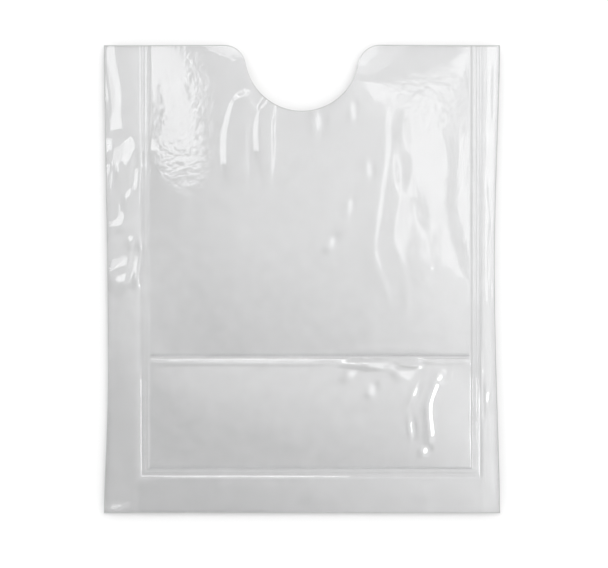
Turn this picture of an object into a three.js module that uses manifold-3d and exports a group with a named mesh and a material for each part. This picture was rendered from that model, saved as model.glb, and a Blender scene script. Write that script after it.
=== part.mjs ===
// A clear soft-vinyl pocket with a thumb notch and a self-adhesive back, lying face up on its release liner.
// Millimetres. +X is the pocket's right, +Y its open mouth, +Z out of its front.
// The origin is the middle of the underside.
import * as THREE from "three";
import { mergeVertices } from "three/addons/utils/BufferGeometryUtils.js";
import Module from "manifold-3d";

const wasm = await Module();
wasm.setup();

// The die-cut outline, which every layer shares
const pocketWidth = 127;
const pocketHeight = 150;
const leftBow = 1.3; // how far the left side has shrunk inwards at its waist
const leftWaistHeight = 45; // above the bottom edge
const rightBow = 1.7;
const rightWaistHeight = 78;
const waistSharpness = 1.5; // 1 is a sine's round waist, more is a narrower one
const notchRadius = 18.3;
const notchCentreDepth = 2.9; // below the mouth's edge
const shoulderRadius = 7.1; // rounds the notch into the mouth's edge

// Layers, from the underside up
const linerThickness = 0.12;
const adhesiveThickness = 0.08;
const backFilmThickness = 0.25;
const frontFilmThickness = 0.25;
const peelStripWidth = 13; // the narrow part of the liner, peeled off first
const peelSlit = 0.3;

// Welds between the two films
const sealWidth = 1; // along the cut edge of the sides and the bottom
const leftMargin = 11.7; // cut edge to the frame weld
const rightMargin = 6.4;
const bottomMargin = 11.7;
const weldWidth = 2.9; // two grooves with a rib between them
const weldPress = 0.13; // depth of a groove in the front film
const ribPress = 0.04;
const crossWeldDepth = 100; // mouth's edge to the middle of the cross weld
const crossWeldWidth = 1.2;

// How far the front film stands off the back film between the welds
const pocketRise = 1.8;
const pocketRun = 34; // from a weld to where the film has risen fully
const mouthRise = 1;
const mouthRun = 45; // from the mouth's edge to where the film has risen fully
const lowerRise = 1.1;
const lowerRun = 17;
const marginRise = 0.35;

// Soft folds in the front film, each bowed sideways between its two ends.
// Places are shares of the pocket's width and height from the lower left corner,
// and a fold's height is a share of the rise that it lies on.
const folds = [
  { from: [0.67, 0.85], to: [0.71, 0.47], bow: 3.5, height: 0.25, halfWidth: 5 },
  { from: [0.78, 0.87], to: [0.82, 0.48], bow: -4, height: -0.24, halfWidth: 6 },
  { from: [0.88, 0.89], to: [0.89, 0.49], bow: 2, height: 0.2, halfWidth: 4 },
  { from: [0.37, 0.89], to: [0.34, 0.7], bow: 4, height: 0.21, halfWidth: 4 },
  { from: [0.41, 0.87], to: [0.43, 0.69], bow: -2, height: -0.18, halfWidth: 4 },
  { from: [0.18, 0.94], to: [0.2, 0.7], bow: -3, height: 0.18, halfWidth: 5 },
  { from: [0.81, 0.3], to: [0.8, 0.14], bow: -2, height: 0.36, halfWidth: 5 },
];

// Steps between the grid lines of the front film
const marginSteps = 4;
const fieldColumns = 30;
const pocketRows = 18;
const lowerRows = 7;

const left = -pocketWidth / 2;
const right = pocketWidth / 2;
const bottom = -pocketHeight / 2;
const mouth = pocketHeight / 2;
const weldOuterLeft = left + leftMargin;
const weldInnerLeft = weldOuterLeft + weldWidth;
const weldOuterRight = right - rightMargin;
const weldInnerRight = weldOuterRight - weldWidth;
const weldOuterBottom = bottom + bottomMargin;
const weldInnerBottom = weldOuterBottom + weldWidth;
const crossWeldTop = mouth - crossWeldDepth + crossWeldWidth / 2;
const crossWeldBottom = crossWeldTop - crossWeldWidth;
const backFilmUnder = linerThickness + adhesiveThickness;
const backFilmTop = backFilmUnder + backFilmThickness;

// Sections of the pressed welds: places across a weld, as shares of its width, with the press at each
const frameWeldSection = [
  [0, 0],
  [0.16, weldPress],
  [0.36, weldPress],
  [0.5, ribPress],
  [0.64, weldPress],
  [0.84, weldPress],
  [1, 0],
];
const crossWeldSection = [
  [0, 0],
  [0.3, weldPress],
  [0.7, weldPress],
  [1, 0],
];

function spaced(from, to, steps) {
  return Array.from({ length: steps + 1 }, (_, i) => from + ((to - from) * i) / steps);
}

function across(section, from, to) {
  return section.map(([share]) => from + (to - from) * share);
}

// Joins runs of grid lines, each of which starts where the one before it ends
function joined(...runs) {
  return runs.flatMap((run, i) => (i === 0 ? run : run.slice(1)));
}

const columns = joined(
  spaced(left, left + sealWidth, 1),
  spaced(left + sealWidth, weldOuterLeft, marginSteps),
  across(frameWeldSection, weldOuterLeft, weldInnerLeft),
  spaced(weldInnerLeft, weldInnerRight, fieldColumns),
  across(frameWeldSection, weldInnerRight, weldOuterRight),
  spaced(weldOuterRight, right - sealWidth, marginSteps),
  spaced(right - sealWidth, right, 1),
);
const rows = joined(
  spaced(bottom, bottom + sealWidth, 1),
  spaced(bottom + sealWidth, weldOuterBottom, marginSteps),
  across(frameWeldSection, weldOuterBottom, weldInnerBottom),
  spaced(weldInnerBottom, crossWeldBottom, lowerRows),
  across(crossWeldSection, crossWeldBottom, crossWeldTop),
  spaced(crossWeldTop, mouth, pocketRows),
);

// 0 at the mouth and at the bottom, 1 at the waist
function waistShare(y, waistHeight) {
  const height = y - bottom;
  const towards = height < waistHeight ? height / waistHeight : (mouth - y) / (pocketHeight - waistHeight);
  return Math.sin((Math.PI / 2) * towards) ** waistSharpness;
}

// The cut edges bow inwards, while the welds beside them stay straight
function bowedX(x, y) {
  if (x < weldOuterLeft) {
    return x + (leftBow * waistShare(y, leftWaistHeight) * (weldOuterLeft - x)) / leftMargin;
  }
  if (x > weldOuterRight) {
    return x - (rightBow * waistShare(y, rightWaistHeight) * (x - weldOuterRight)) / rightMargin;
  }
  return x;
}

// The notch's round bottom meets the mouth's edge in two shoulder arcs
const notchCentreY = mouth - notchCentreDepth;
const shoulderY = mouth - shoulderRadius;
const shoulderX = Math.sqrt((notchRadius + shoulderRadius) ** 2 - (notchCentreY - shoulderY) ** 2);
const shoulderAngle = Math.atan2(notchCentreY - shoulderY, shoulderX);

function traceNotch(path) {
  path.absarc(shoulderX, shoulderY, shoulderRadius, Math.PI / 2, Math.PI - shoulderAngle, false);
  path.absarc(0, notchCentreY, notchRadius, -shoulderAngle, Math.PI + shoulderAngle, true);
  path.absarc(-shoulderX, shoulderY, shoulderRadius, shoulderAngle, Math.PI / 2, false);
}

function outlineShape() {
  const shape = new THREE.Shape();
  shape.moveTo(left, bottom);
  rows.forEach((y) => shape.lineTo(bowedX(right, y), y));
  traceNotch(shape);
  rows.toReversed().forEach((y) => shape.lineTo(bowedX(left, y), y));
  return shape;
}

function extruded(shape, from, thickness) {
  const settings = { depth: thickness, bevelEnabled: false };
  return new THREE.ExtrudeGeometry(shape, settings).translate(0, 0, from);
}

function solidOf(geometry) {
  const bare = geometry.clone().deleteAttribute("normal").deleteAttribute("uv");
  const merged = mergeVertices(bare);
  const vertProperties = new Float32Array(merged.attributes.position.array);
  const triVerts = new Uint32Array(merged.index.array);
  return new wasm.Manifold(new wasm.Mesh({ numProp: 3, vertProperties, triVerts }));
}

function geometryOf(solid) {
  const made = solid.getMesh();
  const geometry = new THREE.BufferGeometry();
  geometry.setAttribute("position", new THREE.Float32BufferAttribute(made.vertProperties, 3));
  geometry.setIndex(Array.from(made.triVerts));
  return geometry;
}

// Climbs from 0 at a weld to 1 at the end of the run, steeply at first, as blown film does
function climb(distance, run) {
  const remaining = 1 - THREE.MathUtils.clamp(distance / run, 0, 1);
  return 1 - remaining * remaining;
}

// How far one fold lifts or drops the film at a point, as a share of the rise there
function foldShare(fold, x, y) {
  const [from, to] = [fold.from, fold.to].map(
    ([shareX, shareY]) => new THREE.Vector2(left + shareX * pocketWidth, bottom + shareY * pocketHeight),
  );
  const run = to.clone().sub(from);
  const here = new THREE.Vector2(x, y).sub(from);
  const along = THREE.MathUtils.clamp(here.dot(run) / run.lengthSq(), 0, 1);
  const aside = here.cross(run) / run.length() - fold.bow * 4 * along * (1 - along);
  return fold.height * Math.sin(Math.PI * along) * Math.exp(-((aside / fold.halfWidth) ** 2));
}

// The margins outside the frame weld puff up a little between it and the sealed edge
function marginGap(fromWeld, fromSeal) {
  const share = Math.max(fromSeal, 0) / (Math.max(fromSeal, 0) + fromWeld);
  return marginRise * 4 * share * (1 - share);
}

// The field above the cross weld is the pocket itself, and stands open at the mouth
function pocketGap(x, y) {
  const sides = climb(x - weldInnerLeft, pocketRun) * climb(weldInnerRight - x, pocketRun);
  const rise = mouthRise + (pocketRise - mouthRise) * climb(mouth - y, mouthRun);
  return rise * sides * climb(y - crossWeldTop, pocketRun);
}

function lowerGap(x, y) {
  const sides = climb(x - weldInnerLeft, lowerRun) * climb(weldInnerRight - x, lowerRun);
  return lowerRise * sides * climb(crossWeldBottom - y, lowerRun) * climb(y - weldInnerBottom, lowerRun);
}

// Gap between the films, before the sides are bowed. In a weld there is none.
function gapAt(x, y) {
  const fromWeld = Math.max(weldOuterLeft - x, x - weldOuterRight, weldOuterBottom - y);
  if (fromWeld > 0) {
    return marginGap(fromWeld, Math.min(x - left, right - x, y - bottom) - sealWidth);
  }
  const foldedShare = folds.reduce((sum, fold) => sum + foldShare(fold, x, y), 1);
  return foldedShare * (y > crossWeldTop ? pocketGap(x, y) : lowerGap(x, y));
}

function pressIn(section, share) {
  const next = section.findIndex(([place]) => place > share);
  if (next < 1) {
    return 0;
  }
  const [[start, startPress], [end, endPress]] = [section[next - 1], section[next]];
  return THREE.MathUtils.mapLinear(share, start, end, startPress, endPress);
}

// How deep the weld bars have pressed the front film at a point
function pressAt(x, y) {
  const intoFrame = Math.min(x - weldOuterLeft, weldOuterRight - x, y - weldOuterBottom) / weldWidth;
  const intoCross = (y - crossWeldBottom) / crossWeldWidth;
  return pressIn(frameWeldSection, intoFrame) + (intoFrame >= 1 ? pressIn(crossWeldSection, intoCross) : 0);
}

// A sheet divided along the welds, so that each groove has facets of its own, then raised and pressed
function frontFilmSheet() {
  const columnSteps = columns.length - 1;
  const rowSteps = rows.length - 1;
  const sheet = new THREE.BoxGeometry(columnSteps, rowSteps, 1, columnSteps, rowSteps, 1);
  const places = sheet.attributes.position;
  for (let i = 0; i < places.count; i += 1) {
    const x = columns[Math.round(places.getX(i) + columnSteps / 2)];
    const y = rows[Math.round(places.getY(i) + rowSteps / 2)];
    const thickness = places.getZ(i) > 0 ? frontFilmThickness - pressAt(x, y) : 0;
    places.setXYZ(i, bowedX(x, y), y, backFilmTop + gapAt(x, y) + thickness);
  }
  return sheet;
}

// The die's punch for the thumb notch, taller than the pocket is thick
function notchPunch() {
  const shape = new THREE.Shape();
  const above = mouth + shoulderRadius;
  shape.moveTo(-shoulderX, above);
  shape.lineTo(shoulderX, above);
  traceNotch(shape);
  return extruded(shape, 0, 2 * (backFilmTop + pocketRise + frontFilmThickness));
}

function frontFilm() {
  return geometryOf(solidOf(frontFilmSheet()).subtract(solidOf(notchPunch())));
}

// One part of the release liner: the shared outline between two upright lines
function linerPart(fromX, toX) {
  const strip = new THREE.Shape();
  strip.moveTo(fromX, bottom - sealWidth);
  strip.lineTo(toX, bottom - sealWidth);
  strip.lineTo(toX, mouth + sealWidth);
  strip.lineTo(fromX, mouth + sealWidth);
  const cutter = solidOf(extruded(strip, -linerThickness, 3 * linerThickness));
  return geometryOf(solidOf(extruded(outlineShape(), 0, linerThickness)).intersect(cutter));
}

const vinyl = { color: 0xe9ebec, roughness: 0.12, metalness: 0, transparent: true, opacity: 0.35 };
const adhesive = { color: 0xe4e4e0, roughness: 0.4, metalness: 0, transparent: true, opacity: 0.6 };
const linerPaper = { color: 0xdcdcda, roughness: 0.7, metalness: 0 };

function piece(name, geometry, finish) {
  const mesh = new THREE.Mesh(geometry, new THREE.MeshStandardMaterial(finish));
  mesh.name = name;
  return mesh;
}

const slitX = left + peelStripWidth;
const pocket = new THREE.Group();
pocket.add(
  piece("front_film", frontFilm(), vinyl),
  piece("back_film", extruded(outlineShape(), backFilmUnder, backFilmThickness), vinyl),
  piece("adhesive_layer", extruded(outlineShape(), linerThickness, adhesiveThickness), adhesive),
  piece("liner_peel_strip", linerPart(left - sealWidth, slitX - peelSlit / 2), linerPaper),
  piece("liner_main", linerPart(slitX + peelSlit / 2, right + sealWidth), linerPaper),
);

export default pocket;
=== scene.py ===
# A clear vinyl pocket with a thumb notch and a self-adhesive back, lying face up on its release liner.
from math import cos, hypot, pi, radians, sin, sqrt

import bpy
import numpy as np
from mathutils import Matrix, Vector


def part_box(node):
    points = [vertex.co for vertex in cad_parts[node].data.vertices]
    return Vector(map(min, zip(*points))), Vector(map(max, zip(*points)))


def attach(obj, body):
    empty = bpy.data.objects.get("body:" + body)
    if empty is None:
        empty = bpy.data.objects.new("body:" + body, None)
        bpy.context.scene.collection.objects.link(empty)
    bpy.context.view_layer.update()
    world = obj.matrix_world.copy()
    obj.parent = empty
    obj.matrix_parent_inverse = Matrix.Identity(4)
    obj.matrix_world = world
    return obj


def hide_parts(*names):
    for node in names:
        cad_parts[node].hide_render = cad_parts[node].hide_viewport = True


mm = 0.001
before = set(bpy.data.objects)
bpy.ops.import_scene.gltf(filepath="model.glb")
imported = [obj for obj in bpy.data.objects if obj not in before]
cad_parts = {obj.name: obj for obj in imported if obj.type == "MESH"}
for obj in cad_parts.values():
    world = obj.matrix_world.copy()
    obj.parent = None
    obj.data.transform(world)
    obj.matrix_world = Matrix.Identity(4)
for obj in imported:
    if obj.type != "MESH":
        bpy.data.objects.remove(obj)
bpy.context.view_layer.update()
print("frame loaded")


# Corners of a solid, in millimetres
def box(node):
    low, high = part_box(node)
    return [value / mm for value in low], [value / mm for value in high]


# Camera: straight down, framed as the photograph is
photo = {
    "width": 608,  # pixels
    "height": 568,
    "pocketMiddle": (302.0, 279.25),  # where the pocket's middle lies, in pixels
    "mmPerPixel": 0.3209,
    "lens": 120.0,  # millimetres, as is the sensor's width
    "sensor": 36.0,
}


def addCamera():
    middleX, middleY = photo["pocketMiddle"]
    x = (photo["width"] / 2 - middleX) * photo["mmPerPixel"]
    y = (middleY - photo["height"] / 2) * photo["mmPerPixel"]
    height = photo["width"] * photo["mmPerPixel"] * photo["lens"] / photo["sensor"]
    bpy.ops.object.camera_add(location=(x * mm, y * mm, height * mm), rotation=(0, 0, 0))
    camera = bpy.context.object
    camera.data.lens = photo["lens"]
    camera.data.sensor_width = photo["sensor"]
    bpy.context.scene.camera = camera
    return x, y, height


cameraX, cameraY, cameraHeight = addCamera()
print("camera placed")

# Sizes of the pocket, in millimetres. The outline and the welds are as the solids have them.
pocketLow, pocketHigh = box("front_film")
backTop = box("back_film")[1][2]
left, bottom = pocketLow[0], pocketLow[1]
right, mouth = pocketHigh[0], pocketHigh[1]
outline = {
    "leftBow": 1.3,
    "leftWaistHeight": 45.0,
    "rightBow": 1.7,
    "rightWaistHeight": 78.0,
    "waistSharpness": 1.5,
    "notchRadius": 18.3,
    "notchCentreDepth": 2.9,
    "shoulderRadius": 7.1,
    "notchEase": 38.0,  # depth over which the rows of the film bend to follow the notch
}
weld = {
    "sealWidth": 1.0,  # flat strip along the outer edge
    "leftMargin": 11.7,
    "rightMargin": 6.4,
    "bottomMargin": 11.7,
    "width": 2.9,
    "across": [0, 0.16, 0.36, 0.5, 0.64, 0.84, 1],  # groove, rib and groove, as shares of the width
    "press": 0.13,
    "ribPress": 0.04,
    "crossDepth": 100.0,  # below the mouth
    "crossWidth": 1.2,
    "crossAcross": [0, 0.3, 0.7, 1],
}
puff = {  # how far the front film stands off the back one; flatter than the solid in the margins and below
    "pocketRise": 1.8,
    "pocketRun": 34.0,
    "crossRun": 55.0,
    "mouthRise": 1.0,
    "mouthRun": 45.0,
    "lowerRise": 0.6,
    "lowerRun": 17.0,
    "marginRise": 0.12,
    "marginLean": 1.7,  # above 1, a margin is highest nearer the weld
    "marginFullness": 3,
}
film = {"thickness": 0.25, "clearance": 0.006}  # the clearance is kept above the back film

weldOuterLeft = left + weld["leftMargin"]
weldInnerLeft = weldOuterLeft + weld["width"]
weldOuterRight = right - weld["rightMargin"]
weldInnerRight = weldOuterRight - weld["width"]
weldOuterBottom = bottom + weld["bottomMargin"]
weldInnerBottom = weldOuterBottom + weld["width"]
crossTop = mouth - weld["crossDepth"] + weld["crossWidth"] / 2
crossBottom = crossTop - weld["crossWidth"]


# Share of a side's bow at a height: none at the corners, all of it at the waist
def waistShare(y, waistHeight):
    height = y - bottom
    full = mouth - bottom
    towards = np.where(height < waistHeight, height / waistHeight, (mouth - y) / (full - waistHeight))
    return np.sin(pi / 2 * np.clip(towards, 0, 1)) ** outline["waistSharpness"]


# The waisted sides draw the margins in, and leave the welds straight
def bowedX(x, y):
    leftShare = np.clip((weldOuterLeft - x) / weld["leftMargin"], 0, 1)
    rightShare = np.clip((x - weldOuterRight) / weld["rightMargin"], 0, 1)
    inLeft = outline["leftBow"] * waistShare(y, outline["leftWaistHeight"]) * leftShare
    inRight = outline["rightBow"] * waistShare(y, outline["rightWaistHeight"]) * rightShare
    return x + inLeft - inRight


# The mouth's edge, with the notch in it: a round bottom between two shoulder arcs
notchY = mouth - outline["notchCentreDepth"]
shoulderY = mouth - outline["shoulderRadius"]
arcReach = outline["notchRadius"] + outline["shoulderRadius"]
shoulderX = sqrt(arcReach**2 - (notchY - shoulderY) ** 2)
meetX = shoulderX * outline["notchRadius"] / arcReach  # where the arcs meet


def mouthEdge(x):
    across = np.abs(x)
    roundBottom = notchY - np.sqrt(np.maximum(outline["notchRadius"] ** 2 - across**2, 0))
    fromShoulder = np.maximum(outline["shoulderRadius"] ** 2 - (across - shoulderX) ** 2, 0)
    shoulder = shoulderY + np.sqrt(fromShoulder)
    return np.where(across < meetX, roundBottom, np.where(across < shoulderX, shoulder, mouth))


# Bends the upper rows, so that the last one follows the mouth's edge
def notchedY(x, y):
    start = mouth - outline["notchEase"]
    share = np.clip((y - start) / (mouth - start), 0, 1)
    return np.where(y > start, start + share * (mouthEdge(x) - start), y)


# From 0 at an edge, steeply at first, to 1 at the end of the run
def climb(distance, run):
    remaining = 1 - np.clip(distance / run, 0, 1)
    return 1 - remaining * remaining


def acrossPocket(x, run):
    return climb(x - weldInnerLeft, run) * climb(weldInnerRight - x, run)


# How far a place lies outside the frame weld, less than 0 within it
def outsideWeld(x, y):
    return np.maximum(np.maximum(weldOuterLeft - x, x - weldOuterRight), weldOuterBottom - y)


# Gap between the two films: none in a weld, most in the middle of each field
def puffHeight(x, y):
    fromWeld = outsideWeld(x, y)
    fromSeal = np.minimum(np.minimum(x - left, right - x), y - bottom) - weld["sealWidth"]
    fromSeal = np.maximum(fromSeal, 0)
    share = fromSeal / np.maximum(fromSeal + np.maximum(fromWeld, 0), 1e-6)  # never divides by 0
    fromCrest = np.abs(2 * share ** puff["marginLean"] - 1)
    margin = puff["marginRise"] * (1 - fromCrest ** puff["marginFullness"])
    rise = puff["mouthRise"] + (puff["pocketRise"] - puff["mouthRise"]) * climb(mouth - y, puff["mouthRun"])
    upper = rise * acrossPocket(x, puff["pocketRun"]) * climb(y - crossTop, puff["crossRun"])
    ends = climb(crossBottom - y, puff["lowerRun"]) * climb(y - weldInnerBottom, puff["lowerRun"])
    lower = puff["lowerRise"] * acrossPocket(x, puff["lowerRun"]) * ends
    return np.where(fromWeld > 0, margin, np.where(y > crossTop, upper, lower))


# How deep the welds are pressed in: two grooves and a rib in the frame weld, one groove in the cross weld
def pressDepth(x, y):
    into = np.minimum(np.minimum(x - weldOuterLeft, weldOuterRight - x), y - weldOuterBottom) / weld["width"]
    press, rib = weld["press"], weld["ribPress"]
    frameWeld = np.interp(into, weld["across"], [0, press, press, rib, press, press, 0])
    cross = (y - crossBottom) / weld["crossWidth"]
    crossWeld = np.interp(cross, weld["crossAcross"], [0, press, press, 0])
    return frameWeld + np.where(into >= 1, crossWeld, 0)


# Painted shade: thin dark lines along the welds stand in for the shade on the grooves' walls. They are
# strongest along the bottom weld and the cross weld, and the whole pocket is a little darker. Places across
# are shares of a weld's width, from its outer or lower edge.
paintedWeldShades = {
    "across": [-0.06, 0, 0.06, 0.34, 0.42, 0.5, 0.8, 0.9, 0.97, 1.05],
    "darkness": [0, 0.4, 0, 0, 0.5, 0, 0, 1, 1, 0],
    "crossAcross": [0.5, 0.8, 1.1, 1.4],
    "crossDarkness": [0, 1, 1, 0],
    "atSides": 0.14,
    "atBottom": 0.9,
    "atCross": 0.7,
    # painted shade, standing in for the light lost where the films stand apart
    "pocketShade": 0.15,  # the pocket is a little darker than its side margins
    "pocketShadeRun": 1.5,
}


def paintedWeldShade(x, y):
    fromSide = np.minimum(x - weldOuterLeft, weldOuterRight - x)
    into = np.minimum(fromSide, y - weldOuterBottom) / weld["width"]
    strength = np.where(fromSide < y - weldOuterBottom, paintedWeldShades["atSides"], paintedWeldShades["atBottom"])
    frameWeldShade = strength * np.interp(into, paintedWeldShades["across"], paintedWeldShades["darkness"])
    cross = (y - crossBottom) / weld["crossWidth"]
    crossWeldShade = paintedWeldShades["atCross"] * np.interp(cross, paintedWeldShades["crossAcross"], paintedWeldShades["crossDarkness"])
    lines = np.clip(frameWeldShade + np.where(into >= 1, crossWeldShade, 0), 0, 1)
    inPocket = np.clip(fromSide / paintedWeldShades["pocketShadeRun"] + 1, 0, 1)
    return np.maximum(lines, paintedWeldShades["pocketShade"] * inPocket)


# Where the film is puckered all over, like orange peel: soft ellipses in millimetres
puckers = [
    {"at": (-38, 52), "size": (10, 22)},
    {"at": (41, 55), "size": (13, 12)},
    {"at": (38, 15), "size": (6, 17)},
]


# Squared distance from the middle of an ellipse, 1 at its edge
def ellipse(x, y, spot):
    return ((x - spot["at"][0]) / spot["size"][0]) ** 2 + ((y - spot["at"][1]) / spot["size"][1]) ** 2


def puckered(x, y):
    share = np.zeros(x.shape)
    for pucker in puckers:
        share = np.maximum(share, np.exp(-(ellipse(x, y, pucker) ** 2)))
    return share


# Keeps a number per vertex for the material
def keepValues(piece, name, values):
    attribute = piece.data.attributes.new(name, "FLOAT", "POINT")
    attribute.data.foreach_set("value", values.astype(np.float32))


# Grid lines from runs of (start, end, pitch)
def gridLines(runs):
    lines = []
    for start, end, pitch in runs:
        count = max(2, round((end - start) / pitch) + 1)
        lines.append(np.linspace(start, end, count)[:-1])
    return np.concatenate([*lines, [runs[-1][1]]])


# Where the lines of the grids lie closer, in millimetres
grid = {
    "loopsLeft": -26,  # columns, between this
    "loopsRight": -6,  # and this
    "streaksLeft": 14,  # and from here to the right weld
    "underBottomWeld": 2,  # rows, over these heights
    "underCrossWeld": 4,
    "underMouth": 1,
    "steepOutside": 2.6,  # the sheets' columns, up to this far outside the place where the notch's arcs meet
    "steepWidth": 4.4,
    "clearOfEnds": 0.2,  # no column lies closer to a sheet's ends
}


def filmColumns():
    seal = weld["sealWidth"]
    runs = [(left, left + seal, 0.33), (left + seal, weldOuterLeft, 0.6)]
    runs += [(weldOuterLeft, weldInnerLeft, 0.24), (weldInnerLeft, grid["loopsLeft"], 0.8)]
    runs += [(grid["loopsLeft"], grid["loopsRight"], 0.4)]
    runs += [(grid["loopsRight"], grid["streaksLeft"], 1), (grid["streaksLeft"], weldInnerRight, 0.5)]
    runs += [(weldInnerRight, weldOuterRight, 0.24), (weldOuterRight, right - seal, 0.5)]
    runs += [(right - seal, right, 0.33)]
    return gridLines(runs)


def filmRows():
    seal = weld["sealWidth"]
    underBottom = weldOuterBottom - grid["underBottomWeld"]
    underCross = crossBottom - grid["underCrossWeld"]
    underMouth = mouth - grid["underMouth"]
    runs = [(bottom, bottom + seal, 0.33), (bottom + seal, underBottom, 1.2)]
    runs += [(underBottom, weldOuterBottom, 0.35), (weldOuterBottom, weldInnerBottom, 0.24)]
    runs += [(weldInnerBottom, underCross, 0.6), (underCross, crossBottom, 0.35)]
    runs += [(crossBottom, crossTop, 0.2), (crossTop, underMouth, 0.9), (underMouth, mouth, 0.33)]
    return gridLines(runs)


# The flat sheets need only what the outline and the notch ask for
def sheetColumns():
    outer = meetX + grid["steepOutside"]
    inner = outer - grid["steepWidth"]
    runs = [(left, -outer, 3), (-outer, -inner, 0.3), (-inner, inner, 2)]
    runs += [(inner, outer, 0.3), (outer, right, 3)]
    return gridLines(runs)


def sheetRows():
    return gridLines([(bottom, mouth, 3)])


# A sheet of quads with a vertex at each crossing of the given columns and rows
def gridPiece(name, columns, rows):
    bpy.ops.object.select_all(action="DESELECT")
    bpy.ops.mesh.primitive_grid_add(x_subdivisions=len(columns) - 1, y_subdivisions=len(rows) - 1, size=1)
    piece = bpy.context.object
    piece.name = piece.data.name = name
    places = np.zeros(len(piece.data.vertices) * 3)
    piece.data.vertices.foreach_get("co", places)
    places = places.reshape(-1, 3)
    column = np.rint((places[:, 0] + 0.5) * (len(columns) - 1)).astype(int)
    row = np.rint((places[:, 1] + 0.5) * (len(rows) - 1)).astype(int)
    return piece, columns[column], rows[row]


def setPlaces(piece, x, y, z):
    places = np.column_stack([x, y, z]) * mm
    piece.data.vertices.foreach_set("co", places.astype(np.float32).ravel())
    piece.data.update()


def readPlaces(piece):
    places = np.zeros(len(piece.data.vertices) * 3)
    piece.data.vertices.foreach_get("co", places)
    return places.reshape(-1, 3) / mm


smoothAngle = radians(40)


# Gives a sheet its thickness below its face, and keeps its underside off what lies under it
def thicken(piece, thickness, floorHeight):
    faceCount = len(piece.data.vertices)
    solidify = piece.modifiers.new("thickness", "SOLIDIFY")
    solidify.thickness = thickness * mm
    solidify.offset = -1
    bpy.ops.object.modifier_apply(modifier=solidify.name)
    places = readPlaces(piece)
    under = places[faceCount:]
    under[:, 2] = np.maximum(under[:, 2], floorHeight)
    setPlaces(piece, *places.T)
    bpy.ops.object.shade_smooth_by_angle(angle=smoothAngle)


# Folds: soft ridges of the front film along a line, in millimetres.
# A lean makes one flank steeper, a higher power makes the top broader, and a fold can narrow at its ends.
folds = [
    {
        "path": [(-17.8, 54.6), (-19.6, 48.5), (-20.2, 41.5), (-19.3, 25.4)],
        "height": 0.12, "width": 4.0, "power": 8, "lean": 0.3, "narrow": 0.4, "taper": (0.001, 0.4),
    },
    {
        "path": [(-8.3, 62.7), (-10.9, 52.7), (-11.2, 43.1), (-10.3, 24.8)],
        "height": 0.25, "width": 3.1, "power": 4, "lean": 0.25, "narrow": 0.7, "taper": (0.3, 0.5),
    },
    {
        "path": [(-48.8, -26.7), (-23.1, -26.9), (-0.6, -27.0), (15.4, -26.7)],
        "height": 0.13, "width": 0.8, "taper": (0.03, 0.2),
    },
    {
        "path": [(12.2, -26.6), (31.4, -26.6), (54.6, -26.6)],
        "height": 0.12, "width": 0.8, "taper": (0.2, 0.05),
    },
    {
        "path": [(11.6, -22.7), (31.4, -22.5), (46.5, -23.0)],
        "height": 0.07, "width": 0.8, "taper": (0.2, 0.2),
    },
    {
        "path": [(26.6, 55.6), (26.6, 41.5), (24.7, 27.0), (22.8, 11.0), (24.1, 4.3), (29.2, -9.2)],
        "height": 0.095, "width": 1.8, "lean": 0.4, "taper": (0.1, 0.15),
    },
    {
        "path": [(32.1, 29.9), (29.2, 14.2), (31.1, 7.8), (33.4, -1.8), (33.7, -16.3)],
        "height": 0.06, "width": 1.6, "lean": 0.3, "taper": (0.15, 0.2),
    },
    {
        "path": [(-48.5, 74.2), (-45.2, 64.6), (-43.6, 55.9), (-43.3, 46.3)],
        "height": 0.035, "width": 1.6, "taper": (0.2, 0.2),
    },
    {
        "path": [(44.6, -28.5), (42.4, -33.6), (40.4, -39.4), (40.3, -43.9), (40.8, -49.7), (40.1, -53.8)],
        "height": 0.2, "width": 1.25, "taper": (0.1, 0.12),
    },
    {
        "path": [(-51.3, -63.8), (-0.6, -63.9), (53.3, -63.8), (57.4, -65.1)],
        "height": 0.06, "width": 0.6, "taper": (0.1, 0.05),
    },
]
bluntTaper = 0.001  # with this as its first taper, a fold starts blunt and round

# Lifts: places where the film stands off further
lifts = [
    {"at": (12.8, 63.9), "size": (14, 11), "height": 0.95},
]

# Height of the lights that the film mirrors, and the spots in them that facets aim at, in millimetres
cardHeight = 1200.0
aims = {"windowLeft": (-285, 160), "windowRight": (290, 100), "lamp": (437, -150), "ceiling": (165, 60)}

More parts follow.
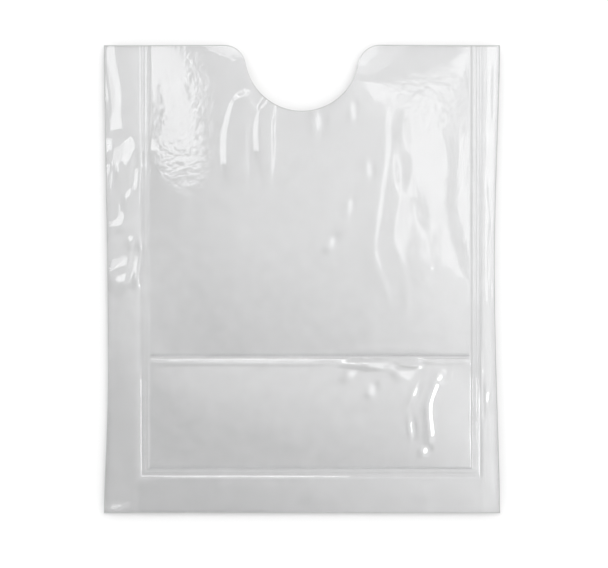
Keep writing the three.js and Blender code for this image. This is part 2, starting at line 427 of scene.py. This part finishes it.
# Facets: spots where the film leans just so far that it mirrors a light into the camera
facets = [
    {"at": (-60.7, 64.6), "size": (2.2, 9.5), "mirrors": "windowLeft"},
    {"at": (-55.5, 41.8), "size": (6.5, 5.0), "mirrors": "windowLeft"},
    {"at": (-60.7, 37.3), "size": (2.4, 6), "mirrors": "windowLeft"},
    {"at": (-61.3, 28.6), "size": (2.0, 8), "mirrors": "windowLeft"},
    {"at": (-60.0, 18.4), "size": (3.0, 8.5), "mirrors": "windowLeft"},
    {"at": (-56.5, 26.7), "size": (1.7, 5), "turn": -35, "mirrors": "windowLeft"},
    {"at": (-52.9, 33.1), "size": (1.8, 7), "mirrors": "windowLeft"},
    {"at": (-55.8, 12.6), "size": (5.5, 2.8), "turn": -12, "mirrors": "windowLeft"},
    {"at": (-59.4, 4.6), "size": (4.4, 7.5), "mirrors": "windowLeft"},
    {"at": (-53.3, 4.9), "size": (1.8, 6.5), "mirrors": "windowLeft"},
    {"at": (-56.2, 0.4), "size": (4.4, 2.6), "mirrors": "windowLeft"},
    {"at": (32.1, 40.8), "size": (2.3, 10), "mirrors": "ceiling"},
    {"at": (37.5, 12.6), "size": (5.0, 13), "turn": 3, "mirrors": "ceiling"},
    {"at": (5.1, 50.8), "size": (2.4, 5.2), "mirrors": "windowRight"},
    {"at": (16.4, 53.3), "size": (1.6, 3.6), "mirrors": "windowRight"},
    {"at": (21.5, 35.1), "size": (1.6, 3.2), "turn": 15, "mirrors": "windowRight"},
    {"at": (15.4, 23.2), "size": (1.5, 2.8), "turn": -20, "mirrors": "windowRight"},
    {"at": (9.6, 11.6), "size": (1.7, 3.2), "turn": -35, "mirrors": "windowRight"},
    {"at": (35.3, 22.9), "size": (1.9, 1.9), "turn": 30, "mirrors": "windowRight"},
    {"at": (37.9, 15.5), "size": (2.0, 2.6), "turn": 30, "mirrors": "windowRight"},
    {"at": (16.7, -29.1), "size": (1.8, 4.6), "turn": -45, "mirrors": "windowRight"},
    {"at": (26.0, -27.2), "size": (11, 1.8), "mirrors": "windowRight"},
    {"at": (33.4, -28.5), "size": (5.0, 4.0), "mirrors": "windowRight"},
    {"at": (22.5, -35.5), "size": (1.8, 2.6), "turn": -30, "mirrors": "windowRight"},
    {"at": (44.0, -31.0), "size": (2.6, 1.9), "mirrors": "lamp"},
    {"at": (36.3, -36.2), "size": (1.4, 3.5), "turn": -25, "mirrors": "lamp"},
    {"at": (35.1, -47.4), "size": (1.3, 4.2), "turn": 5, "mirrors": "lamp"},
    {"at": (39.5, -55.0), "size": (2.1, 1.6), "turn": 30, "mirrors": "lamp"},
    {"at": (-59.0, -72.4), "size": (4.6, 2.8), "turn": 20, "mirrors": "windowLeft"},
    {"at": (59.7, 29.9), "size": (1.4, 7), "mirrors": "windowRight"},
    {"at": (59.4, -38.7), "size": (1.2, 3.0), "turn": -25, "mirrors": "lamp"},
    {"at": (57.8, -33.9), "size": (0.8, 9), "turn": 3, "mirrors": "lamp"},
]


# Points along a smooth curve through the given ones
def smoothLine(points, step=0.8):
    points = [np.array(point, float) for point in points]
    ends = [2 * points[0] - points[1], *points, 2 * points[-1] - points[-2]]
    line = []
    for before, here, there, after in zip(ends, ends[1:], ends[2:], ends[3:]):
        t = np.linspace(0, 1, max(2, int(hypot(*(there - here)) / step)), endpoint=False)[:, None]
        curve = 2 * here + (there - before) * t + (2 * before - 5 * here + 4 * there - after) * t**2
        line.append((curve + (3 * here - before - 3 * there + after) * t**3) / 2)
    return np.vstack([*line, points[-1]])


def foldHeight(x, y, fold):
    line = smoothLine(fold["path"])
    lengths = np.hypot(*np.diff(line, axis=0).T)
    starts = np.concatenate([[0], np.cumsum(lengths)])
    nearest = np.full(x.shape, np.inf)
    along, side = np.zeros(x.shape), np.zeros(x.shape)
    for point, towards, length, start in zip(line, np.diff(line, axis=0), lengths, starts):
        dx, dy = towards / length
        passed = np.clip((x - point[0]) * dx + (y - point[1]) * dy, 0, length)
        away = np.hypot(x - point[0] - passed * dx, y - point[1] - passed * dy)
        closer = away < nearest
        nearest = np.where(closer, away, nearest)
        along = np.where(closer, start + passed, along)
        side = np.where(closer, np.sign((x - point[0]) * dy - (y - point[1]) * dx), side)
    share = along / starts[-1]
    first, last = fold["taper"]
    ends = np.clip(np.minimum((share + bluntTaper) / first, (1 - share) / last), 0, 1)
    ends = ends * ends * (3 - 2 * ends)
    width = fold["width"] * (1 + fold.get("lean", 0) * side) * (1 - fold.get("narrow", 0) * (1 - ends))
    return fold["height"] * ends * np.exp(-((nearest / width) ** fold.get("power", 2)))


def softRelief(x, y):
    relief = puffHeight(x, y)
    for lift in lifts:
        relief = relief + lift["height"] * np.exp(-ellipse(x, y, lift))
    for fold in folds:
        relief = relief + foldHeight(x, y, fold)
    return relief


# Leans the film within a soft-edged ellipse until it mirrors its light into the camera
def facetHeight(x, y, facet):
    atX, atY = facet["at"]
    lightX, lightY = aims[facet["mirrors"]]
    near = 0.2  # the film's own slope is taken over this distance to each side
    aroundX = np.array([atX - near, atX + near, atX, atX])
    aroundY = np.array([atY, atY, atY - near, atY + near])
    around = softRelief(aroundX, aroundY)
    reach = 1 + cardHeight / cameraHeight
    slopeX = (reach * (atX - cameraX) + cameraX - lightX) / (2 * cardHeight)
    slopeY = (reach * (atY - cameraY) + cameraY - lightY) / (2 * cardHeight)
    slopeX = slopeX - (around[1] - around[0]) / (2 * near)
    slopeY = slopeY - (around[3] - around[2]) / (2 * near)
    turn = radians(facet.get("turn", 0))
    along = ((x - atX) * cos(turn) + (y - atY) * sin(turn)) / facet["size"][0]
    across = ((y - atY) * cos(turn) - (x - atX) * sin(turn)) / facet["size"][1]
    return (slopeX * (x - atX) + slopeY * (y - atY)) * np.exp(-((along**2 + across**2) ** 2))


# Slow random waves: in the outer margins, and inside the frame weld
marginWaves = {"height": 0.03, "cell": (5, 9), "seed": 21, "fadeIn": 3}
pocketWaves = {"height": 0.03, "cell": (11, 15), "seed": 31, "fadeIn": 6}
waveTable = 128  # random values each way
waveStart = (50.3, 50.7)  # where the pocket's middle lies in the table


# Smooth random values between -1 and 1
def softNoise(x, y, waves):
    table = np.random.default_rng(waves["seed"]).uniform(-1, 1, (waveTable, waveTable))
    u, v = x / waves["cell"][0] + waveStart[0], y / waves["cell"][1] + waveStart[1]
    column, row = np.floor(u).astype(int), np.floor(v).astype(int)
    s, t = u - column, v - row
    s, t = s**3 * (s * (s * 6 - 15) + 10), t**3 * (t * (t * 6 - 15) + 10)
    column, row = column % (waveTable - 1), row % (waveTable - 1)
    lower = table[row, column] * (1 - s) + table[row, column + 1] * s
    upper = table[row + 1, column] * (1 - s) + table[row + 1, column + 1] * s
    return lower * (1 - t) + upper * t


def waveHeight(x, y, inside, waves):
    return np.clip(inside / waves["fadeIn"], 0, 1) * waves["height"] * softNoise(x, y, waves)


def filmRelief(x, y):
    relief = softRelief(x, y) - pressDepth(x, y)
    for facet in facets:
        relief = relief + facetHeight(x, y, facet)
    fromWeld = outsideWeld(x, y)
    relief = relief + waveHeight(x, y, fromWeld, marginWaves)
    return relief + waveHeight(x, y, -fromWeld, pocketWaves)


def addFrontFilm():
    piece, gridX, gridY = gridPiece("vinylFront", filmColumns(), filmRows())
    y = notchedY(gridX, gridY)
    x = bowedX(gridX, y)
    setPlaces(piece, x, y, backTop + film["clearance"] + film["thickness"] + filmRelief(gridX, y))
    # the painted shade of the welds and the pocket, kept per vertex
    keepValues(piece, "paintedWeldShade", paintedWeldShade(gridX, y))
    keepValues(piece, "puckered", puckered(gridX, y))
    thicken(piece, film["thickness"], backTop + film["clearance"])
    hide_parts("front_film")
    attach(piece, "root")
    return piece


frontFilm = addFrontFilm()
print("front film:", len(frontFilm.data.polygons), "faces")

# The flat sheets, in millimetres
sheet = {
    "inset": 0.35,  # how far the adhesive and the liner are drawn in at the pocket's edges
    "slim": 0.002,  # taken off above and below, so that no faces coincide
}


# A flat sheet where its solid is, drawn in by the inset at the pocket's edges
def addSheet(name, node, inset):
    low, high = box(node)
    slim = sheet["slim"]
    columns, rows = sheetColumns(), sheetRows()
    columns = columns[(columns > low[0] + grid["clearOfEnds"]) & (columns < high[0] - grid["clearOfEnds"])]
    piece, gridX, gridY = gridPiece(name, np.array([low[0], *columns, high[0]]), rows)
    y = notchedY(gridX, gridY)
    x = bowedX(gridX, y)
    x = np.where(x < left + outline["leftBow"] + inset, np.maximum(x, bowedX(left + 0 * y, y) + inset), x)
    x = np.where(x > right - outline["rightBow"] - inset, np.minimum(x, bowedX(right + 0 * y, y) - inset), x)
    y = np.clip(y, bottom + inset, mouthEdge(gridX) - inset)
    setPlaces(piece, x, y, np.full(len(y), high[2] - slim))
    thicken(piece, high[2] - low[2] - 2 * slim, low[2] + slim)
    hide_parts(node)
    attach(piece, "root")
    return piece


backFilm = addSheet("vinylBack", "back_film", 0)
adhesive = addSheet("adhesiveCoat", "adhesive_layer", sheet["inset"])
linerMain = addSheet("linerMain", "liner_main", sheet["inset"])
linerStrip = addSheet("linerStrip", "liner_peel_strip", sheet["inset"])
print("flat sheets made")


# Shared effects, as node groups
def newGroup(name, inputs, outputs):
    group = bpy.data.node_groups.new(name, "ShaderNodeTree")
    for label, value in inputs.items():
        socket = group.interface.new_socket(label, in_out="INPUT", socket_type="NodeSocketFloat")
        socket.default_value = value
    for label in outputs:
        group.interface.new_socket(label, in_out="OUTPUT", socket_type="NodeSocketFloat")
    return group, group.nodes.new("NodeGroupInput").outputs, group.nodes.new("NodeGroupOutput").inputs


# A node with its inputs set or, where a value is a socket, linked
def addNode(tree, kind, inputs=None, **settings):
    node = tree.nodes.new(kind)
    for key, value in settings.items():
        setattr(node, key, value)
    for key, value in (inputs or {}).items():
        if isinstance(value, bpy.types.NodeSocket):
            tree.links.new(value, node.inputs[key])
        else:
            node.inputs[key].default_value = value
    return node


def maths(tree, operation, *values):
    return addNode(tree, "ShaderNodeMath", dict(enumerate(values)), operation=operation).outputs[0]


def noise(tree, place, size, detail):
    inputs = {"Vector": place, "Scale": size, "Detail": detail}
    return addNode(tree, "ShaderNodeTexNoise", inputs).outputs["Fac"]


# Calendered vinyl: fine orange peel over slower waves, and a faint change of gloss
def makePeelGroup():
    inputs = {"Peel Size": 520.0, "Wave Size": 230.0, "Wave Share": 0.5, "Gloss": 0.04, "Gloss Change": 0.01}
    group, source, sink = newGroup("vinylPeel", inputs, ["Height", "Roughness"])
    place = addNode(group, "ShaderNodeTexCoord").outputs["Object"]
    peel = noise(group, place, source["Peel Size"], 2.0)
    wave = noise(group, place, source["Wave Size"], 1.0)
    height = maths(group, "MULTIPLY_ADD", wave, source["Wave Share"], peel)
    roughness = maths(group, "MULTIPLY_ADD", wave, source["Gloss Change"], source["Gloss"])
    group.links.new(height, sink["Height"])
    group.links.new(roughness, sink["Roughness"])
    return group


# Matt surfaces: fine fibres, and a slower mottle that darkens and lightens the colour
def makeGrainGroup():
    inputs = {"Fibre Size": 700.0, "Mottle Size": 230.0, "Darkest": 0.95, "Lightest": 1.05}
    group, source, sink = newGroup("fibreGrain", inputs, ["Height", "Tone"])
    place = addNode(group, "ShaderNodeTexCoord").outputs["Object"]
    fibres = noise(group, place, source["Fibre Size"], 5.0)
    mottle = noise(group, place, source["Mottle Size"], 3.0)
    span = {"Value": mottle, "From Min": 0.3, "From Max": 0.7}
    span.update({"To Min": source["Darkest"], "To Max": source["Lightest"]})
    tone = addNode(group, "ShaderNodeMapRange", span)
    group.links.new(fibres, sink["Height"])
    group.links.new(tone.outputs[0], sink["Tone"])
    return group


peelGroup = makePeelGroup()
grainGroup = makeGrainGroup()


def newMaterial(name):
    material = bpy.data.materials.new(name)
    material.use_nodes = True
    tree = material.node_tree
    tree.nodes.clear()
    return material, tree, addNode(tree, "ShaderNodeOutputMaterial").inputs["Surface"]


vinyl = {
    "ior": 1.5,
    "clearness": 0.95,
    # grey of the painted shade in the weld grooves and the pocket
    "paintedShadeColour": (0.72, 0.72, 0.73),
    "plainPeel": 0.15,  # depth of the peel where the film isn't puckered, as a share
    "shadeThrough": (0.91, 0.91, 0.91),
}
frontVinyl = {"tint": (0.995, 0.998, 1.0), "peelDepth": 0.055, "gloss": 0.012}
backVinyl = {"tint": (0.97, 0.97, 0.975), "peelDepth": 0.003, "gloss": 0.03}


# Clear glossy vinyl, which lets lamps and bounced light through to what lies under it.
# Only the front film keeps the painted weld shade and puckers, and for the back film both read 0.
def clearVinyl(name, own):
    material, tree, surface = newMaterial(name)
    peel = addNode(tree, "ShaderNodeGroup", node_tree=peelGroup)
    peel.inputs["Gloss"].default_value = own["gloss"]
    pucker = addNode(tree, "ShaderNodeAttribute", attribute_name="puckered").outputs["Fac"]
    share = maths(tree, "MULTIPLY_ADD", pucker, 1 - vinyl["plainPeel"], vinyl["plainPeel"])
    height = maths(tree, "MULTIPLY", peel.outputs["Height"], share)
    bump = addNode(tree, "ShaderNodeBump", {"Height": height, "Distance": own["peelDepth"] * mm})
    # Painted shade: darkens the film towards a grey in the weld grooves and over the pocket
    line = addNode(tree, "ShaderNodeAttribute", attribute_name="paintedWeldShade").outputs["Fac"]
    colours = {0: line, 6: (*own["tint"], 1), 7: (*vinyl["paintedShadeColour"], 1)}
    shade = addNode(tree, "ShaderNodeMix", colours, data_type="RGBA")
    shader = addNode(
        tree,
        "ShaderNodeBsdfPrincipled",
        {
            "Base Color": shade.outputs[2],
            "Roughness": peel.outputs["Roughness"],
            "IOR": vinyl["ior"],
            "Transmission Weight": vinyl["clearness"],
            "Normal": bump.outputs["Normal"],
        },
    )
    path = addNode(tree, "ShaderNodeLightPath")
    passes = maths(tree, "MAXIMUM", path.outputs["Is Shadow Ray"], path.outputs["Is Diffuse Ray"])
    through = addNode(tree, "ShaderNodeBsdfTransparent", {"Color": (*vinyl["shadeThrough"], 1)})
    mixed = addNode(tree, "ShaderNodeMixShader", {0: passes, 1: shader.outputs[0], 2: through.outputs[0]})
    tree.links.new(mixed.outputs[0], surface)
    return material


# Painted shade: an opaque grey on the film's cut edge stands in for the dark line that refraction and shadow
# give the edge
paintedEdgeShade = {"colour": (0.47, 0.47, 0.47), "roughness": 0.3, "width": 0.3}  # the width in millimetres
adhesiveCream = {"colour": (0.66, 0.66, 0.66), "roughness": 0.6}
linerPaper = {"colour": (0.695, 0.695, 0.685), "roughness": 0.45}
fibreDepth = 0.01  # millimetres


def mattMaterial(name, own):
    material, tree, surface = newMaterial(name)
    grain = addNode(tree, "ShaderNodeGroup", node_tree=grainGroup)
    colours = {0: 1.0, 6: (*own["colour"], 1), 7: grain.outputs["Tone"]}
    shade = addNode(tree, "ShaderNodeMix", colours, data_type="RGBA", blend_type="MULTIPLY")
    bump = addNode(tree, "ShaderNodeBump", {"Height": grain.outputs["Height"], "Distance": fibreDepth * mm})
    shader = addNode(
        tree,
        "ShaderNodeBsdfPrincipled",
        {"Base Color": shade.outputs[2], "Roughness": own["roughness"], "Normal": bump.outputs["Normal"]},
    )
    tree.links.new(shader.outputs[0], surface)
    return material


def dress(piece, material):
    piece.data.materials.clear()
    piece.data.materials.append(material)


# Gives the cut edge its own material: an opaque grey painted shade that shows the edge as a fine dark line
def markRim(piece, material):
    piece.data.materials.append(material)
    centres = np.zeros(len(piece.data.polygons) * 3)
    piece.data.polygons.foreach_get("center", centres)
    x, y = centres[0::3] / mm, centres[1::3] / mm
    fromLeft = x - left - outline["leftBow"] * waistShare(y, outline["leftWaistHeight"])
    fromRight = right - x - outline["rightBow"] * waistShare(y, outline["rightWaistHeight"])
    fromEdge = np.minimum.reduce([fromLeft, fromRight, y - bottom, mouthEdge(x) - y])
    piece.data.polygons.foreach_set("material_index", (fromEdge < paintedEdgeShade["width"]).astype(np.int32))


dress(frontFilm, clearVinyl("frontVinyl", frontVinyl))
markRim(frontFilm, mattMaterial("paintedEdgeShade", paintedEdgeShade))
dress(backFilm, clearVinyl("backVinyl", backVinyl))
dress(adhesive, mattMaterial("adhesiveCream", adhesiveCream))
linerMaterial = mattMaterial("linerPaper", linerPaper)
dress(linerMain, linerMaterial)
dress(linerStrip, linerMaterial)
print("materials done")

# Floor, with its size and height in millimetres
floor = {"size": 6000, "height": -1.6, "colour": (0.95, 0.95, 0.95), "roughness": 0.9}


def addFloor():
    bpy.ops.object.select_all(action="DESELECT")
    bpy.ops.mesh.primitive_plane_add(size=floor["size"] * mm, location=(0, 0, floor["height"] * mm))
    piece = bpy.context.object
    piece.name = "floor"
    material, tree, surface = newMaterial("floorWhite")
    finish = {"Base Color": (*floor["colour"], 1), "Roughness": floor["roughness"], "Specular IOR Level": 0}
    tree.links.new(addNode(tree, "ShaderNodeBsdfPrincipled", finish).outputs[0], surface)
    dress(piece, material)


addFloor()


# A card over the pocket that only lights and reflections see, and the place on it for its material
def addCard(name, spanX, spanY, height):
    bpy.ops.object.select_all(action="DESELECT")
    bpy.ops.mesh.primitive_plane_add(size=1)
    card = bpy.context.object
    card.name = name
    card.scale = ((spanX[1] - spanX[0]) * mm, (spanY[1] - spanY[0]) * mm, 1)
    bpy.ops.object.transform_apply(location=False, rotation=False, scale=True)
    card.location = (sum(spanX) / 2 * mm, sum(spanY) / 2 * mm, height * mm)
    card.visible_camera = False
    material, tree, surface = newMaterial(name)
    dress(card, material)
    place = addNode(tree, "ShaderNodeTexCoord").outputs["Object"]
    parts = addNode(tree, "ShaderNodeSeparateXYZ", {0: place}).outputs
    return tree, surface, parts


# Light panels that the film mirrors, in millimetres
windows = [
    {"name": "windowLeft", "x": (-360, -212), "y": (107, 283), "strength": 3.8},
    {"name": "windowRight", "x": (190, 322), "y": (-20, 226), "strength": 3.7},
    {"name": "windowPost", "x": (323, 361), "y": (-20, 226), "strength": 1.9},
    {"name": "windowRightEdge", "x": (362, 420), "y": (-20, 226), "strength": 3.7},
    {"name": "windowHead", "x": (120, 420), "y": (229, 310), "strength": 1.7},
    {"name": "windowTop", "x": (-220, 10), "y": (286, 335), "strength": 4.0},
    {"name": "windowFar", "x": (-220, 45), "y": (385, 560), "strength": 11.0},
    {"name": "windowFarRight", "x": (46, 180), "y": (385, 560), "strength": 3.5},
    {"name": "lamp", "x": (395, 480), "y": (-240, -85), "strength": 18.0},
    {"name": "darkFront", "x": (-700, 700), "y": (-1000, -520), "strength": 0.05},
    {"name": "darkLeft", "x": (-1000, -521), "y": (-520, 300), "strength": 0.3},
    {"name": "dimRight", "x": (505, 900), "y": (-500, 300), "strength": 0.7},
]
softEdge = 3.0  # over which a panel fades out at its sides


def addWindow(window):
    tree, surface, parts = addCard(window["name"], window["x"], window["y"], cardHeight)
    masks = []
    for axis, span in (("X", window["x"]), ("Y", window["y"])):
        half = (span[1] - span[0]) / 2
        fade = {"From Min": (half - softEdge) * mm, "From Max": half * mm, "To Min": 1, "To Max": 0}
        fade["Value"] = maths(tree, "ABSOLUTE", parts[axis])
        masks.append(addNode(tree, "ShaderNodeMapRange", fade).outputs[0])
    both = maths(tree, "MULTIPLY", *masks)
    glow = addNode(tree, "ShaderNodeEmission", {"Strength": window["strength"]})
    clear = addNode(tree, "ShaderNodeBsdfTransparent")
    mixed = addNode(tree, "ShaderNodeMixShader", {0: both, 1: clear.outputs[0], 2: glow.outputs[0]})
    tree.links.new(mixed.outputs[0], surface)


# The large panel over the windows: dim at the lower left, brighter to the right and towards the top
ceiling = {
    "x": (-500, 500),
    "y": (-500, 500),
    "above": 10,  # the windows
    "middle": 1.6,
    "acrossPerMetre": 3.1,
    "upPerMetre": 1.0,
    "lowerPerMetre": 4.2,  # more, below the middle
    "cornerRise": 13.0,  # per square metre, towards the lower right
    "least": 0.08,
    "most": 2.4,
}


def addCeiling():
    height = cardHeight + ceiling["above"]
    tree, surface, parts = addCard("ceiling", ceiling["x"], ceiling["y"], height)
    across, up = parts["X"], parts["Y"]
    below = maths(tree, "MINIMUM", up, 0.0)
    corner = maths(tree, "MULTIPLY", below, across)
    strength = maths(tree, "MULTIPLY_ADD", across, ceiling["acrossPerMetre"], ceiling["middle"])
    strength = maths(tree, "MULTIPLY_ADD", up, ceiling["upPerMetre"], strength)
    strength = maths(tree, "MULTIPLY_ADD", below, ceiling["lowerPerMetre"], strength)
    strength = maths(tree, "MULTIPLY_ADD", corner, -ceiling["cornerRise"], strength)
    strength = maths(tree, "MAXIMUM", strength, ceiling["least"])
    strength = maths(tree, "MINIMUM", strength, ceiling["most"])
    tree.links.new(addNode(tree, "ShaderNodeEmission", {"Strength": strength}).outputs[0], surface)


for window in windows:
    addWindow(window)
addCeiling()

studio = {"colour": (1, 1, 1), "strength": 1.08}
world = bpy.data.worlds.new("studio")
bpy.context.scene.world = world
world.use_nodes = True
world.node_tree.nodes["Background"].inputs["Color"].default_value = (*studio["colour"], 1)
world.node_tree.nodes["Background"].inputs["Strength"].default_value = studio["strength"]
bpy.context.scene.view_settings.view_transform = "Standard"
print("stage lit")
